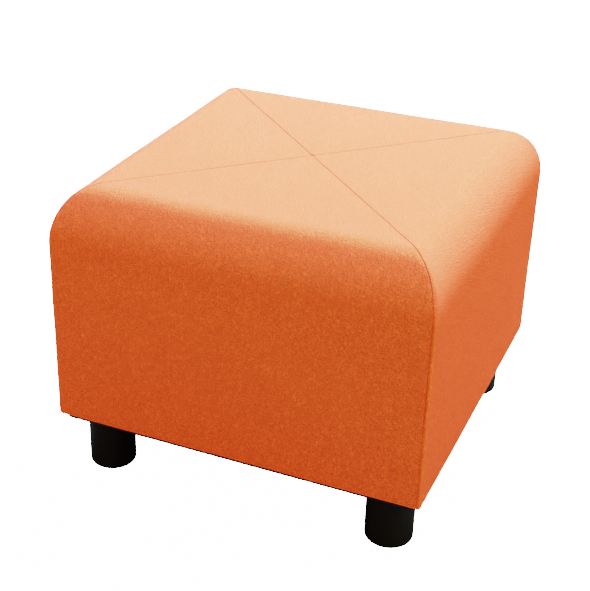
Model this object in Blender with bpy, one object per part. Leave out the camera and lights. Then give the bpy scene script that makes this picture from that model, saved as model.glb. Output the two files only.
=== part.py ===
"""Cube pouf stool: a padded cube in four mitred cover panels, on a base board and four round feet.

Metres, +Z up. The origin is on the floor, midway between the feet. The front panel faces -Y.
"""

import math

import bmesh
import bpy
from mathutils import Vector

# Driving dimensions
SEAT_WIDTH = 0.520  # across two opposite side faces, at their edges; the plan is a square
SEAT_TOP = 0.424  # floor to the flat of the top
COVER_BOTTOM = 0.090  # floor to the folded lower edge of the cover

# How the cover bends over the top edge: further down the side than in over the top
BEND_IN = 0.052
BEND_DOWN = 0.074
CORNER_RADIUS = 0.008  # the upright corners, seen in plan
HEM_RADIUS = 0.004  # where the cover turns in under the block

# The padding pushes each face a little proud between its edges
SIDE_FULLNESS = 0.0014
TOP_CROWN = 0.0014

# Seams: the edge of each panel rolls in to the seam, and neighbours stay just apart
SEAM_ROLL = 0.0028
SEAM_GAP = 0.0003

# Base board and feet
PIECE_GAP = 0.0003  # between parts that bear on each other
BOARD_INSET = 0.0065  # behind the side faces
BOARD_THICKNESS = 0.006
BOARD_CORNER_RADIUS = 0.009
BOARD_EDGE_RADIUS = 0.0008
FOOT_RADIUS = 0.0325
FOOT_INSET = 0.053  # a foot's axis from each of the two faces beside it
FOOT_BOTTOM_RADIUS = 0.005
FOOT_TOP_CHAMFER = 0.001

# How finely the curves are cut
ROLL_STEPS = 3
CORNER_STEPS = 2
FLAT_STEPS = 5
HEM_STEPS = 3
SIDE_STEPS = 5
BEND_STEPS = 12
TOP_STEPS = 8
BOARD_CORNER_STEPS = 5
FOOT_SIDES = 40
FOOT_ROUND_STEPS = 4

QUARTER_TURN = math.pi / 2
EIGHTH_TURN = math.pi / 4

PANELS = {  # node: turns of 90 degrees from the front
    "panel_front": 0,
    "panel_right": 1,
    "panel_back": 2,
    "panel_left": 3,
}
FEET = {  # node: side in x, side in y
    "foot_front_left": (-1, -1),
    "foot_front_right": (1, -1),
    "foot_back_right": (1, 1),
    "foot_back_left": (-1, 1),
}


def clear_scene():
    for obj in list(bpy.data.objects):
        bpy.data.objects.remove(obj, do_unlink=True)


def make_material(name, colour, roughness, metallic=0.0):
    material = bpy.data.materials.new(name)
    material.use_nodes = True
    shader = material.node_tree.nodes["Principled BSDF"]
    shader.inputs["Base Color"].default_value = (*colour, 1.0)
    shader.inputs["Roughness"].default_value = roughness
    shader.inputs["Metallic"].default_value = metallic
    return material


def finished_mesh(name, bm, material, sharp_angle):
    """The bmesh as a mesh, its faces pointing out and its round stretches shaded smooth."""
    bmesh.ops.recalc_face_normals(bm, faces=bm.faces)
    mesh = bpy.data.meshes.new(name)
    bm.to_mesh(mesh)
    bm.free()
    mesh.shade_smooth()
    mesh.set_sharp_from_angle(angle=math.radians(sharp_angle))
    mesh.materials.append(material)
    return mesh


def place(name, mesh, location=(0.0, 0.0, 0.0), turn=0.0):
    obj = bpy.data.objects.new(name, mesh)
    obj.location = location
    obj.rotation_euler.z = turn
    bpy.context.scene.collection.objects.link(obj)


# ---- Cover panels: each one holds the padding behind it, in to the middle of the block


def profile_rows(half_width):
    """The panel's rows, from the folded hem up the side, over the bend and in over the top.

    Each row is its reach from the middle of the block, its height, and how much its outward normal
    points level and up.
    """
    rows = []
    hem_centre = COVER_BOTTOM + HEM_RADIUS
    for step in range(HEM_STEPS + 1):
        angle = QUARTER_TURN * (step / HEM_STEPS - 1)
        level, up = math.cos(angle), math.sin(angle)
        rows.append((half_width - HEM_RADIUS * (1 - level), hem_centre + HEM_RADIUS * up, level, up))

    bend_start = SEAT_TOP - BEND_DOWN
    for step in range(1, SIDE_STEPS):
        height = hem_centre + (bend_start - hem_centre) * step / SIDE_STEPS
        rows.append((half_width, height, 1.0, 0.0))

    top_reach = half_width - BEND_IN
    for step in range(BEND_STEPS + 1):
        angle = QUARTER_TURN * step / BEND_STEPS
        normal = Vector((math.cos(angle) / BEND_IN, math.sin(angle) / BEND_DOWN)).normalized()
        reach = top_reach + BEND_IN * math.cos(angle)
        rows.append((reach, bend_start + BEND_DOWN * math.sin(angle), normal.x, normal.y))

    for step in range(1, TOP_STEPS):
        rows.append((top_reach * (1 - step / TOP_STEPS) ** 2, SEAT_TOP, 0.0, 1.0))
    return rows


def outline_point(reach, corner, seam_distance):
    """A point on a rounded square of this reach, on its -Y side, and the square's normal there."""
    turned = math.asin(min(1.0, seam_distance / corner))
    angle = EIGHTH_TURN - turned
    if angle <= 0:
        return reach - math.sqrt(2) * seam_distance, -reach, 0.0, -1.0
    centre = reach - corner
    normal_x, normal_y = math.sin(angle), -math.cos(angle)
    return centre + corner * normal_x, -centre + corner * normal_y, normal_x, normal_y


def seam_distances(reach, corner):
    """How far a row's columns lie from the seam plane, from the seam to the panel's middle."""
    roll = SEAM_ROLL * corner / CORNER_RADIUS
    corner_end = corner * math.sin(EIGHTH_TURN)
    middle = reach * math.sin(EIGHTH_TURN)
    distances = [roll * (1 - math.cos(QUARTER_TURN * i / ROLL_STEPS)) for i in range(ROLL_STEPS)]
    distances += [roll + (corner_end - roll) * i / CORNER_STEPS for i in range(CORNER_STEPS)]
    distances += [corner_end + (middle - corner_end) * i / FLAT_STEPS for i in range(FLAT_STEPS + 1)]
    return distances


def roll_depth(seam_distance):
    """How far the panel has rolled in from its face at this distance from the seam."""
    short = max(0.0, SEAM_ROLL - seam_distance)
    return SEAM_ROLL - math.sqrt(SEAM_ROLL**2 - short**2)


def fullness(x, reach, height, top_reach, up):
    """How far the padding pushes the face out: most at its middle, nothing along its edges."""
    across = max(0.0, 1 - (x / reach) ** 2)
    if up == 0:
        return across * SIDE_FULLNESS * math.sin(math.pi * side_share(height))
    if reach < top_reach:
        return across * TOP_CROWN * math.sin(math.pi * reach / top_reach)
    return 0.0


def side_share(height):
    """How far up the flat of the side this height is, from 0 at the hem to 1 at the bend."""
    low = COVER_BOTTOM + HEM_RADIUS
    return (height - low) / (SEAT_TOP - BEND_DOWN - low)


def panel_row(row, top_reach):
    """The points of one row, from the panel's left seam to its right one."""
    reach, height, level, up = row
    corner = min(CORNER_RADIUS, reach / 2)
    right = []
    for distance in seam_distances(reach, corner):
        x, y, normal_x, normal_y = outline_point(reach, corner, distance)
        out = fullness(x, reach, height, top_reach, up) - roll_depth(distance)
        normal = Vector((normal_x * level, normal_y * level, up))
        right.append(Vector((x, y, height)) + out * normal)
    left = [Vector((-spot.x, spot.y, spot.z)) for spot in right]
    return left[:-1] + right[::-1]


def panel_mesh(cloth):
    """The front panel as a solid wedge: a bent grid, drawn in to the middle of the block."""
    half_width = SEAT_WIDTH / 2 - SEAM_GAP / math.sqrt(2)
    rows = [panel_row(row, half_width - BEND_IN) for row in profile_rows(half_width)]
    bm = bmesh.new()
    bmesh.ops.create_grid(bm, x_segments=len(rows[0]) - 1, y_segments=len(rows) - 1)
    for vert, spot in zip(bm.verts, [spot for row in rows for spot in row]):
        vert.co = spot

    # The last row shrinks to the tip of the panel, where all four seams meet
    bm.verts.ensure_lookup_table()
    tip = Vector((0.0, 0.0, SEAT_TOP - SEAM_ROLL))
    bmesh.ops.pointmerge(bm, verts=bm.verts[-len(rows[0]) :], merge_co=tip)

    # The open rim is drawn in to one point under the tip, which makes the mitre sides and underside
    rim = [edge for edge in bm.edges if edge.is_boundary]
    drawn = bmesh.ops.extrude_edge_only(bm, edges=rim)["geom"]
    inner = [part for part in drawn if isinstance(part, bmesh.types.BMVert)]
    bmesh.ops.pointmerge(bm, verts=inner, merge_co=(0.0, 0.0, COVER_BOTTOM))

    bmesh.ops.translate(bm, verts=bm.verts, vec=(0.0, -SEAM_GAP / math.sqrt(2), 0.0))
    return finished_mesh("panel", bm, cloth, 50)


# ---- Base board and feet


def board_mesh(finish):
    """A thin square board with rounded corners and eased edges."""
    bm = bmesh.new()
    bmesh.ops.create_cube(bm, size=1.0)
    side = SEAT_WIDTH - 2 * BOARD_INSET
    bmesh.ops.scale(bm, vec=(side, side, BOARD_THICKNESS), verts=bm.verts)
    uprights = [edge for edge in bm.edges if edge.verts[0].co.z * edge.verts[1].co.z < 0]
    bmesh.ops.bevel(
        bm,
        geom=uprights,
        offset=BOARD_CORNER_RADIUS,
        segments=BOARD_CORNER_STEPS,
        profile=0.5,
        affect="EDGES",
    )
    rims = [edge for edge in bm.edges if edge.calc_face_angle() > EIGHTH_TURN]
    bmesh.ops.bevel(bm, geom=rims, offset=BOARD_EDGE_RADIUS, segments=2, profile=0.5, affect="EDGES")
    return finished_mesh("board", bm, finish, 40)


def foot_outline(height):
    """Half of the foot's section, from the middle of its bottom to the middle of its top."""
    outline = [Vector((0.0, 0.0, 0.0))]
    for step in range(FOOT_ROUND_STEPS + 1):
        angle = QUARTER_TURN * (step / FOOT_ROUND_STEPS - 1)
        across = FOOT_RADIUS - FOOT_BOTTOM_RADIUS * (1 - math.cos(angle))
        outline.append(Vector((across, 0.0, FOOT_BOTTOM_RADIUS * (1 + math.sin(angle)))))
    outline.append(Vector((FOOT_RADIUS, 0.0, height - FOOT_TOP_CHAMFER)))
    outline.append(Vector((FOOT_RADIUS - FOOT_TOP_CHAMFER, 0.0, height)))
    outline.append(Vector((0.0, 0.0, height)))
    return outline


def foot_mesh(height, finish):
    """A plain round foot: its half section spun about its own upright axis."""
    bm = bmesh.new()
    verts = [bm.verts.new(spot) for spot in foot_outline(height)]
    edges = [bm.edges.new(pair) for pair in zip(verts, verts[1:])]
    bmesh.ops.spin(
        bm,
        geom=verts + edges,
        axis=(0, 0, 1),
        angle=2 * math.pi,
        steps=FOOT_SIDES,
        use_merge=True,
    )
    bmesh.ops.remove_doubles(bm, verts=bm.verts, dist=1e-5)
    return finished_mesh("foot", bm, finish, 40)


def main():
    clear_scene()
    cloth = make_material("orange wool felt", (0.60, 0.095, 0.013), 0.95)
    board_finish = make_material("black board", (0.010, 0.010, 0.011), 0.75)
    foot_finish = make_material("black moulded plastic", (0.008, 0.008, 0.009), 0.42)

    panel = panel_mesh(cloth)
    for name, turns in PANELS.items():
        place(name, panel, turn=turns * QUARTER_TURN)

    board_top = COVER_BOTTOM - PIECE_GAP
    board_middle = board_top - BOARD_THICKNESS / 2
    place("base_board", board_mesh(board_finish), location=(0.0, 0.0, board_middle))

    foot = foot_mesh(board_top - BOARD_THICKNESS - PIECE_GAP, foot_finish)
    foot_offset = SEAT_WIDTH / 2 - FOOT_INSET
    for name, (side_x, side_y) in FEET.items():
        place(name, foot, location=(side_x * foot_offset, side_y * foot_offset, 0.0))


main()
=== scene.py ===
import math

import bmesh
import bpy
from mathutils import Matrix, Vector, noise


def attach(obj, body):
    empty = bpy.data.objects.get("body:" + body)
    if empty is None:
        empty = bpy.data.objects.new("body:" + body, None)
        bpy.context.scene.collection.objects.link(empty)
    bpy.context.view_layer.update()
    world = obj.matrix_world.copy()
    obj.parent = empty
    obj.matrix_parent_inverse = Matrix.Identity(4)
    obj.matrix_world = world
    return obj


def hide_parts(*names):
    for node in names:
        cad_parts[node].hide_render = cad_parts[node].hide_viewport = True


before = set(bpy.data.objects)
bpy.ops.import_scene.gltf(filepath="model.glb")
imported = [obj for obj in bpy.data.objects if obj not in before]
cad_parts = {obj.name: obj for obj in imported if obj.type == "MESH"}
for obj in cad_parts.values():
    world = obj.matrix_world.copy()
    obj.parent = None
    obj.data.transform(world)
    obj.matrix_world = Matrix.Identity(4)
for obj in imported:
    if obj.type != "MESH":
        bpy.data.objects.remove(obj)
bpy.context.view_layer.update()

quarterTurn = math.pi / 2
eighthTurn = math.pi / 4


# Camera: the place the photograph was taken from
camera = {
    "position": (0.5865, -1.5211, 1.0621),
    "azimuth": 23.9521,  # degrees round from the front
    "elevation": 27.9606,
    "roll": 0.8285,
    "lens": 78.329,
    "shift": (0.0761, 0.0118),  # the photograph is cropped off its centre
}


def placeCamera():
    azimuth = math.radians(camera["azimuth"])
    elevation = math.radians(camera["elevation"])
    roll = math.radians(camera["roll"])
    level = math.cos(elevation)
    back = Vector((math.sin(azimuth) * level, -math.cos(azimuth) * level, math.sin(elevation)))
    right = Vector((0, 0, 1)).cross(back).normalized()
    up = back.cross(right)
    turned = Matrix((
        right * math.cos(roll) + up * math.sin(roll),
        up * math.cos(roll) - right * math.sin(roll),
        back,
    )).transposed()
    data = bpy.data.cameras.new("studioCamera")
    data.lens = camera["lens"]
    data.shift_x, data.shift_y = camera["shift"]
    data.dof.use_dof = False
    obj = bpy.data.objects.new("studioCamera", data)
    obj.matrix_world = Matrix.Translation(camera["position"]) @ turned.to_4x4()
    bpy.context.scene.collection.objects.link(obj)
    bpy.context.scene.camera = obj


placeCamera()
print("camera placed")


# Materials
def hexColour(code):
    # an sRGB hex colour as linear light
    parts = [int(code[i : i + 2], 16) / 255 for i in (1, 3, 5)]
    linear = [c / 12.92 if c <= 0.04045 else ((c + 0.055) / 1.055) ** 2.4 for c in parts]
    return (*linear, 1.0)


def addNode(tree, kind, inputs=None, **settings):
    # inputs are values, or the output sockets of other nodes
    node = tree.nodes.new(kind)
    for name, value in settings.items():
        setattr(node, name, value)
    for name, value in (inputs or {}).items():
        if isinstance(value, bpy.types.NodeSocket):
            tree.links.new(value, node.inputs[name])
        else:
            node.inputs[name].default_value = value
    return node


def newMaterial(name):
    material = bpy.data.materials.new(name)
    material.use_nodes = True
    material.node_tree.nodes.clear()
    return material, material.node_tree


felt = {
    "fibreDark": "#A86C3F",
    "fibreLight": "#FE8953",
    "fuzz": "#FF5654",  # the tint of the raised nap, seen against the light
    "fuzzWeight": 1.0,
    "fuzzRoughness": 0.8,
    "roughness": 0.92,
    "curl": 4.4,  # mm across one curl of matted fibre
    "smallCurl": 0.7,  # the finer curls laid over them, as a share of it
    "strand": 0.09,  # how much of a curl its strand fills
    "winding": 0.6,  # how far a strand winds about, in curls
    "fleck": 1.5,  # mm, single fibres drawn coarser than real so that they show
    "heather": 24.0,  # mm across the uneven dyeing
    "curlShare": 0.42,  # how much each of the three lightens the colour
    "fleckShare": 0.75,
    "heatherShare": 0.1,
    "shareStart": -0.09,
    "fleckHeight": 0.8,  # against the height of a curl
    "relief": 0.45,  # mm
    "seam": "#50504C",  # painted shade down in the seams: a grey-brown laid over the felt's colour
}


# Wool felt, milled until the weave is gone: matted curls of fibre, dull, with a pale nap
def woolFelt():
    material, tree = newMaterial("fulled wool felt")
    place = addNode(tree, "ShaderNodeTexCoord").outputs["Object"]

    def curls(size, seed):
        # thin light strands that wind about, on a grid of this many millimetres
        drift = addNode(tree, "ShaderNodeTexNoise", {"Vector": place, "Scale": 500 / size, "Detail": 2.0})
        bend = addNode(tree, "ShaderNodeVectorMath", {
            0: drift.outputs["Color"], 1: (felt["winding"] * size / 1000,) * 3, 2: place,
        }, operation="MULTIPLY_ADD").outputs[0]
        moved = addNode(tree, "ShaderNodeVectorMath", {0: bend, 1: (seed, 0, 0)}, operation="ADD").outputs[0]
        ridge = addNode(tree, "ShaderNodeTexNoise", {"Vector": moved, "Scale": 1000 / size, "Detail": 0.0})
        ridge = addNode(tree, "ShaderNodeMath", {0: ridge.outputs["Fac"], 1: 0.5}, operation="SUBTRACT")
        ridge = addNode(tree, "ShaderNodeMath", {0: ridge.outputs[0]}, operation="ABSOLUTE")
        return addNode(tree, "ShaderNodeMapRange", {
            0: ridge.outputs[0], 2: felt["strand"], 3: 1.0, 4: 0.0,
        }, interpolation_type="SMOOTHSTEP").outputs[0]

    large = curls(felt["curl"], 0.0)
    small = curls(felt["curl"] * felt["smallCurl"], 0.37)
    both = addNode(tree, "ShaderNodeMath", {0: large, 1: small}, operation="ADD").outputs[0]
    flecks = addNode(tree, "ShaderNodeTexNoise", {
        "Vector": place, "Scale": 1000 / felt["fleck"], "Detail": 1.0,
    }).outputs["Fac"]
    flecks = addNode(tree, "ShaderNodeMapRange", {0: flecks, 1: 0.3, 2: 0.75}).outputs[0]
    heather = addNode(tree, "ShaderNodeTexNoise", {
        "Vector": place, "Scale": 1000 / felt["heather"], "Detail": 3.0,
    }).outputs["Fac"]

    share = felt["shareStart"]
    for part, weight in ((both, "curlShare"), (flecks, "fleckShare"), (heather, "heatherShare")):
        share = addNode(tree, "ShaderNodeMath", {
            0: part, 1: felt[weight], 2: share,
        }, operation="MULTIPLY_ADD").outputs[0]
    colour = addNode(tree, "ShaderNodeMix", {
        0: share, 6: hexColour(felt["fibreDark"]), 7: hexColour(felt["fibreLight"]),
    }, data_type="RGBA").outputs[2]

    # each panel carries how deep in a seam every point of it lies, and there the colour is darkened to the
    # seam grey as painted shade
    seam = addNode(tree, "ShaderNodeAttribute", attribute_name="seamShade").outputs["Fac"]
    colour = addNode(tree, "ShaderNodeMix", {
        0: seam, 6: colour, 7: hexColour(felt["seam"]),
    }, data_type="RGBA").outputs[2]

    height = addNode(tree, "ShaderNodeMath", {
        0: flecks, 1: felt["fleckHeight"], 2: both,
    }, operation="MULTIPLY_ADD").outputs[0]
    bump = addNode(tree, "ShaderNodeBump", {
        "Strength": 1.0, "Distance": felt["relief"] / 1000, "Height": height,
    }).outputs[0]
    shader = addNode(tree, "ShaderNodeBsdfPrincipled", {
        "Base Color": colour,
        "Roughness": felt["roughness"],
        "Specular IOR Level": 0.0,
        "Sheen Weight": felt["fuzzWeight"],
        "Sheen Roughness": felt["fuzzRoughness"],
        "Sheen Tint": hexColour(felt["fuzz"]),
        "Normal": bump,
    })
    addNode(tree, "ShaderNodeOutputMaterial", {"Surface": shader.outputs[0]})
    return material


plastic = {
    "black": "#1F1D1E",
    "worn": "#272526",
    "smooth": 0.55,  # roughness where it is worn least and most
    "rough": 0.68,
    "gloss": 0.15,
    "grain": 1.5,  # mm across one grain of the etching
    "patch": 25.0,  # mm across a worn patch
    "relief": 0.02,  # mm
}


# Polypropylene foot, moulded in a finely etched tool: satin black with a soft highlight
def mouldedPlastic():
    material, tree = newMaterial("etched moulded polypropylene")
    place = addNode(tree, "ShaderNodeTexCoord").outputs["Object"]
    grain = addNode(tree, "ShaderNodeTexNoise", {
        "Vector": place, "Scale": 1000 / plastic["grain"], "Detail": 3.0,
    }).outputs["Fac"]
    patches = addNode(tree, "ShaderNodeTexNoise", {
        "Vector": place, "Scale": 1000 / plastic["patch"], "Detail": 4.0,
    }).outputs["Fac"]
    colour = addNode(tree, "ShaderNodeMix", {
        0: patches, 6: hexColour(plastic["black"]), 7: hexColour(plastic["worn"]),
    }, data_type="RGBA").outputs[2]
    roughness = addNode(tree, "ShaderNodeMapRange", {
        0: patches, 1: 0.3, 2: 0.7, 3: plastic["smooth"], 4: plastic["rough"],
    }).outputs[0]
    bump = addNode(tree, "ShaderNodeBump", {
        "Strength": 0.6, "Distance": plastic["relief"] / 1000, "Height": grain,
    }).outputs[0]
    shader = addNode(tree, "ShaderNodeBsdfPrincipled", {
        "Base Color": colour,
        "Roughness": roughness,
        "IOR": 1.49,
        "Specular IOR Level": plastic["gloss"],
        "Normal": bump,
    })
    addNode(tree, "ShaderNodeOutputMaterial", {"Surface": shader.outputs[0]})
    return material


boardFinish = {
    "black": "#0B0B0B",
    "dusty": "#191817",
    "roughness": 0.7,
    "fibre": 0.8,  # mm
    "dustPatches": 14.0,  # to the metre
    "relief": 0.06,  # mm
}


# Fibreboard under a black facing: dull, with the fibre just showing through
def facedBoard():
    material, tree = newMaterial("black faced fibreboard")
    place = addNode(tree, "ShaderNodeTexCoord").outputs["Object"]
    fibre = addNode(tree, "ShaderNodeTexNoise", {
        "Vector": place, "Scale": 1000 / boardFinish["fibre"], "Detail": 3.0,
    }).outputs["Fac"]
    dust = addNode(tree, "ShaderNodeTexNoise", {
        "Vector": place, "Scale": boardFinish["dustPatches"], "Detail": 5.0,
    }).outputs["Fac"]
    share = addNode(tree, "ShaderNodeMapRange", {0: dust, 1: 0.35, 2: 0.75}).outputs[0]
    colour = addNode(tree, "ShaderNodeMix", {
        0: share, 6: hexColour(boardFinish["black"]), 7: hexColour(boardFinish["dusty"]),
    }, data_type="RGBA").outputs[2]
    bump = addNode(tree, "ShaderNodeBump", {
        "Strength": 0.7, "Distance": boardFinish["relief"] / 1000, "Height": fibre,
    }).outputs[0]
    shader = addNode(tree, "ShaderNodeBsdfPrincipled", {
        "Base Color": colour, "Roughness": boardFinish["roughness"], "Normal": bump,
    })
    addNode(tree, "ShaderNodeOutputMaterial", {"Surface": shader.outputs[0]})
    return material


coverCloth = woolFelt()
footPlastic = mouldedPlastic()
boardFacing = facedBoard()
print("materials made")


# Cover panels, in metres: each is cut in one piece and padded in to the middle of the block
cover = {
    "width": 0.520,
    "top": 0.424,
    "bottom": 0.090,
    "bendIn": 0.052,
    "bendDown": 0.074,
    "cornerRadius": 0.0030,  # of the upright corners
    "topCornerRadius": 0.008,  # the same over the bend, where the cloth is pulled round
    "hemRadius": 0.004,
    "sideFullness": 0.0012,
    "topCrown": 0.0012,
    "wrap": 0.0044,  # how far each panel runs round the corner on its left before the upright seam
    "wrapFade": 6,  # the higher, the sooner the wrap and the small corner give way up the bend
    "seamRoll": 0.0006,  # up the sides
    "topSeamRoll": 0.0008,  # on the top
    "rollFade": 4,  # the higher, the later the one gives way to the other
    "seamShade": 0.0005,  # how far the shade in a seam shows
    "uprightShade": 0.0,  # how much of it shows up the sides, where light falls into the seam
    "tipDepth": 0.0003,  # at the middle of the top, where the four seams meet
    "tipShade": 0.4,
    "seamGap": 0.0003,
    "seamTurn": 1.0,  # degrees that the hidden mitre sides turn aside
    "turnedIn": 0.9,  # where they have turned, as a share of the way out from the middle
    "rowStep": 0.006,
    "columnStep": 0.006,
    "hemSteps": 6,
    "bendSteps": 30,
    "narrowing": 0.04,  # from here to its tip the columns beside a panel's seams draw together
    "touching": 0.000001,  # points nearer than this are one
    "crisp": 50,  # degrees, from which an edge isn't smoothed
}
padding = {
    "unevenness": 0.0005,
    "broad": 0.11,  # across a broad swell, and a small one
    "small": 0.045,
    "smallShare": 0.45,
}
halfWidth = cover["width"] / 2 - cover["seamGap"] / math.sqrt(2)
topReach = halfWidth - cover["bendIn"]
bendStart = cover["top"] - cover["bendDown"]
hemCentre = cover["bottom"] + cover["hemRadius"]

# Columns lie closest at the seam: how far each is from it, on a full-width row
nearSeam = [0.0, 0.00015, 0.0005, 0.001, 0.0017] + [0.0024 + 0.0006 * i for i in range(9)] + [0.009, 0.012]


def drawOn(bm, verts, step, times):
    # draws an open end of the profile on in even steps
    for _ in range(times):
        verts = bmesh.ops.extrude_vert_indiv(bm, verts=verts)["verts"]
        bmesh.ops.translate(bm, verts=verts, vec=step)
    return verts


def panelProfile(bm):
    # from the fold under the block up the side, over the bend and in to the middle of the top
    hem = cover["hemRadius"]
    end = bmesh.ops.create_vert(bm, co=(0, hem - halfWidth, cover["bottom"]))["vert"]
    end = bmesh.ops.spin(
        bm, geom=end, cent=(0, hem - halfWidth, hemCentre), axis=(1, 0, 0), angle=-quarterTurn,
        steps=cover["hemSteps"],
    )["geom_last"]
    rise = bendStart - hemCentre
    times = round(rise / cover["rowStep"])
    end = drawOn(bm, end, (0, 0, rise / times), times)

    # the bend is spun round, then stretched down to its taller shape
    old = set(bm.verts)
    centre = Vector((0, -topReach, bendStart))
    end = bmesh.ops.spin(
        bm, geom=end, cent=centre, axis=(1, 0, 0), angle=-quarterTurn,
        steps=cover["bendSteps"],
    )["geom_last"]
    bend = [vert for vert in bm.verts if vert not in old]
    tall = (1, 1, cover["bendDown"] / cover["bendIn"])
    bmesh.ops.scale(bm, vec=tall, space=Matrix.Translation(-centre), verts=bend)

    times = round(topReach / cover["rowStep"])
    drawOn(bm, end, (0, topReach / times, 0), times)


def acrossPanel():
    # the columns from the left seam (-1) to the right one (1), each with its distance from the nearer seam
    middle = halfWidth / math.sqrt(2)
    times = round((middle - nearSeam[-1]) * math.sqrt(2) / cover["columnStep"])
    inner = [nearSeam[-1] + (middle - nearSeam[-1]) * i / times for i in range(1, times + 1)]
    half = nearSeam + inner
    return [(-1, d) for d in half] + [(1, d) for d in reversed(half[:-1])]


def seamDistance(fromSeam, reach):
    # the columns draw together as the panel narrows to its tip
    tight = nearSeam[-1]
    zone = tight * min(1.0, reach / cover["narrowing"])
    if fromSeam <= tight:
        return fromSeam * zone / tight
    middle = halfWidth / math.sqrt(2)
    share = (fromSeam - tight) / (middle - tight)
    return zone + (reach / math.sqrt(2) - zone) * share


def rollDepth(distance, flat):
    roll = cover["seamRoll"] + (cover["topSeamRoll"] - cover["seamRoll"]) * flat
    short = max(0.0, roll - distance)
    return roll - math.sqrt(roll**2 - short**2)


def fullness(x, reach, height):
    across = max(0.0, 1 - (x / reach) ** 2) if reach > 0 else 0.0
    if reach < topReach:
        return across * cover["topCrown"] * math.sin(math.pi * reach / topReach)
    share = min(1.0, max(0.0, (height - hemCentre) / (bendStart - hemCentre)))
    return across * cover["sideFullness"] * math.sin(math.pi * share)


def unevenness(spot):
    # the padding is never quite even; neighbours share this, so the seams stay closed, and the small
    # swells are read from another part of the noise, so that they don't repeat the broad ones
    broad = noise.noise(spot / padding["broad"])
    small = noise.noise(spot / padding["small"] + Vector((7, 3, 5)))
    return padding["unevenness"] * (broad + padding["smallShare"] * small)


def roundSquare(reach, distance, corner, wrap):
    # a point on the block's outline at one height, and how the outline faces there; wrap moves the seam
    # round the corner, and the columns beside it with it
    centre = reach - corner
    seam = centre + corner * eighthTurn
    if seam <= 0:
        return 0.0, 0.0, Vector((0.0, -1.0))
    along = max(0.0, seam - math.sqrt(2) * distance) * (1 + wrap / seam)
    angle = (along - centre) / corner
    if angle <= 0:
        return along, -reach, Vector((0.0, -1.0))
    if angle >= quarterTurn:
        return reach, -centre + along - centre - corner * quarterTurn, Vector((1.0, 0.0))
    level = Vector((math.sin(angle), -math.cos(angle)))
    return centre + corner * level.x, -centre + corner * level.y, level


def placeVert(vert, side, fromSeam, turn):
    height = vert.co.z
    reach = max(0.0, -vert.co.y)
    upright = 1.0
    if height >= bendStart:
        angle = math.asin(min(1.0, (height - bendStart) / cover["bendDown"]))
        normal = Vector((math.cos(angle) / cover["bendIn"], math.sin(angle) / cover["bendDown"]))
        normal.normalize()
        upright = math.cos(angle) ** cover["wrapFade"]
    elif height < hemCentre:
        normal = Vector((halfWidth - cover["hemRadius"] - reach, hemCentre - height)).normalized() * -1
    else:
        normal = Vector((1.0, 0.0))
    distance = seamDistance(fromSeam, reach)
    corner = cover["topCornerRadius"] + (cover["cornerRadius"] - cover["topCornerRadius"]) * upright
    wrap = -side * cover["wrap"] * upright
    x, y, level = roundSquare(reach, distance, min(corner, reach / 2), wrap)
    spot = Vector((x, y, height))
    facing = Vector((level.x * normal.x, level.y * normal.x, normal.y))
    flat = max(0.0, normal.y) ** cover["rollFade"]
    out = fullness(spot.x, reach, height) - rollDepth(distance, flat)
    spot += facing * out
    spot.x *= side
    facing.x *= side
    spot.y -= cover["seamGap"] / math.sqrt(2)
    spot.rotate(turn)
    facing.rotate(turn)
    vert.co = spot + facing * unevenness(spot)
    return upright


def only(kind, parts):
    return [part for part in parts if isinstance(part, kind)]


def closePanel(bm, turn):
    # the open rim is drawn in to the middle, which closes the mitre sides and the underside;
    # on the way it turns a little aside, as a seam allowance is pressed over, so that no light comes through
    heel = Vector((0, -cover["seamGap"] / math.sqrt(2), cover["bottom"]))
    heel.rotate(turn)
    rim = [edge for edge in bm.edges if edge.is_boundary]
    drawn = bmesh.ops.extrude_edge_only(bm, edges=rim)["geom"]
    inner = only(bmesh.types.BMVert, drawn)
    bmesh.ops.scale(bm, vec=(cover["turnedIn"],) * 3, space=Matrix.Translation(-heel), verts=inner)
    aside = Matrix.Rotation(math.radians(cover["seamTurn"]), 3, "Z")
    bmesh.ops.rotate(bm, cent=heel, matrix=aside, verts=inner)
    drawn = bmesh.ops.extrude_edge_only(bm, edges=only(bmesh.types.BMEdge, drawn))["geom"]
    bmesh.ops.pointmerge(bm, verts=only(bmesh.types.BMVert, drawn), merge_co=heel)
    bmesh.ops.remove_doubles(bm, verts=bm.verts, dist=cover["touching"])
    bmesh.ops.recalc_face_normals(bm, faces=bm.faces)


def makePanel(name, node, turns):
    bm = bmesh.new()
    # seamShade holds how much painted shade each point gets: 1 in a seam, none a little way out
    shade = bm.verts.layers.float.new("seamShade")
    panelProfile(bm)
    columns = acrossPanel()
    line = list(bm.verts) + list(bm.edges)
    shown = [(vert, 0) for vert in bm.verts]
    for index in range(1, len(columns)):
        line = bmesh.ops.extrude_edge_only(bm, edges=only(bmesh.types.BMEdge, line))["geom"]
        shown += [(vert, index) for vert in only(bmesh.types.BMVert, line)]
    turn = Matrix.Rotation(turns * quarterTurn, 3, "Z")
    tip = [vert for vert, index in shown if vert.co.y > -cover["touching"]]
    for vert, index in shown:
        side, fromSeam = columns[index]
        upright = placeVert(vert, side, fromSeam, turn)
        # painted shade beside the seams: full on the top, uprightShade of it up the sides
        most = 1 + (cover["uprightShade"] - 1) * upright
        vert[shade] = most * max(0.0, 1 - fromSeam / cover["seamShade"])
    # painted shade where the four seams meet in the middle of the top
    for vert in tip:
        vert[shade] = cover["tipShade"]
    bmesh.ops.pointmerge(bm, verts=tip, merge_co=(0, 0, cover["top"] - cover["tipDepth"]))
    closePanel(bm, turn)

    mesh = bpy.data.meshes.new(name)
    bm.to_mesh(mesh)
    bm.free()
    mesh.shade_smooth()
    mesh.set_sharp_from_angle(angle=math.radians(cover["crisp"]))
    mesh.materials.append(coverCloth)
    piece = bpy.data.objects.new(name, mesh)
    bpy.context.scene.collection.objects.link(piece)
    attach(piece, "root")
    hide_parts(node)


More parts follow.
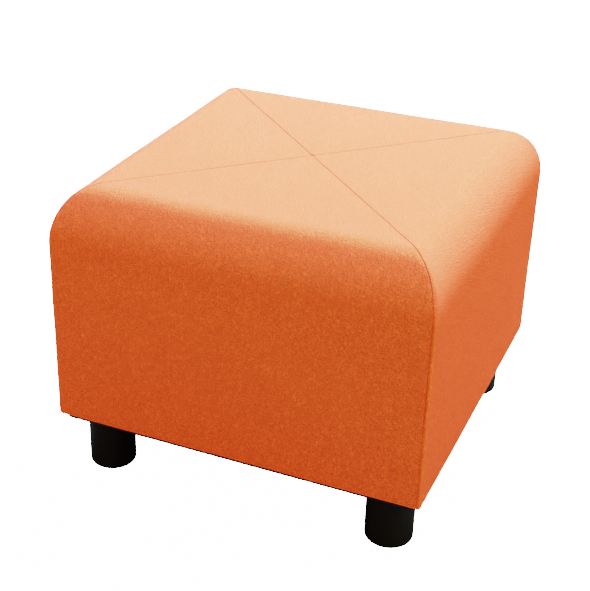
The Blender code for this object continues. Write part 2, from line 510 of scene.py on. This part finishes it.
makePanel("feltPanelFront", "panel_front", 0)
makePanel("feltPanelRight", "panel_right", 1)
makePanel("feltPanelBack", "panel_back", 2)
makePanel("feltPanelLeft", "panel_left", 3)
print("cover panels made")


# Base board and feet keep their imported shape
def dress(node, material):
    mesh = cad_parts[node].data
    mesh.materials.clear()
    mesh.materials.append(material)


dress("base_board", boardFacing)
for foot in ("foot_front_left", "foot_front_right", "foot_back_right", "foot_back_left"):
    dress(foot, footPlastic)
print("board and feet dressed")


# Floor and lights
studio = {
    "floor": "#8C8C8C",  # what the floor gives back to the stool
    "glow": 12.0,  # lifts it, and what lies beyond it, to white in the picture
    "floorReach": 30.0,
    "distance": 3.2,  # of the lights, and their size
    "size": 1.2,
    "aim": 0.25,  # the height that they point at
    "lights": {  # degrees round from the front, degrees up, watts, colour
        "keyLight": (180, 42, 510, "#C4FFF5"),
        "topLight": (0, 90, 131, "#C6AFFF"),
        "frontLight": (0, 15, 55, "#FFE4BD"),
        "rightLight": (90, 30, 84, "#FFF8D6"),
        "leftLight": (270, 25, 55, "#FFF7D7"),
    },
}


def cameraGlow(tree):
    # only the camera sees it, so it sheds no light
    seen = addNode(tree, "ShaderNodeLightPath").outputs["Is Camera Ray"]
    return addNode(tree, "ShaderNodeMath", {0: seen, 1: studio["glow"]}, operation="MULTIPLY").outputs[0]


def makeFloor():
    bm = bmesh.new()
    bmesh.ops.create_grid(bm, x_segments=1, y_segments=1, size=studio["floorReach"])
    mesh = bpy.data.meshes.new("studioFloor")
    bm.to_mesh(mesh)
    bm.free()
    material, tree = newMaterial("pale studio floor")
    shader = addNode(tree, "ShaderNodeBsdfPrincipled", {
        "Base Color": hexColour(studio["floor"]),
        "Roughness": 1.0,
        "Specular IOR Level": 0.0,
        "Emission Color": (1, 1, 1, 1),
        "Emission Strength": cameraGlow(tree),
    })
    addNode(tree, "ShaderNodeOutputMaterial", {"Surface": shader.outputs[0]})
    mesh.materials.append(material)
    obj = bpy.data.objects.new("studioFloor", mesh)
    bpy.context.scene.collection.objects.link(obj)


def makeSurround():
    # white behind the stool wherever the floor ends
    world = bpy.data.worlds.new("studioSurround")
    world.use_nodes = True
    tree = world.node_tree
    tree.nodes.clear()
    surround = addNode(tree, "ShaderNodeBackground", {"Color": (1, 1, 1, 1), "Strength": cameraGlow(tree)})
    addNode(tree, "ShaderNodeOutputWorld", {"Surface": surround.outputs[0]})
    bpy.context.scene.world = world


def softLight(name, azimuth, elevation, watts, colour):
    data = bpy.data.lights.new(name, "AREA")
    data.shape = "DISK"
    data.size = studio["size"]
    data.energy = watts
    data.color = hexColour(colour)[:3]
    azimuth, elevation = math.radians(azimuth), math.radians(elevation)
    level = math.cos(elevation)
    towards = Vector((math.sin(azimuth) * level, -math.cos(azimuth) * level, math.sin(elevation)))
    obj = bpy.data.objects.new(name, data)
    obj.location = Vector((0, 0, studio["aim"])) + towards * studio["distance"]
    obj.rotation_euler = (-towards).to_track_quat("-Z", "Y").to_euler()
    bpy.context.scene.collection.objects.link(obj)


makeFloor()
makeSurround()
for name, settings in studio["lights"].items():
    softLight(name, *settings)

bpy.context.scene.view_settings.view_transform = "Filmic"
bpy.context.scene.view_settings.look = "Very High Contrast"
print("floor and lights set")
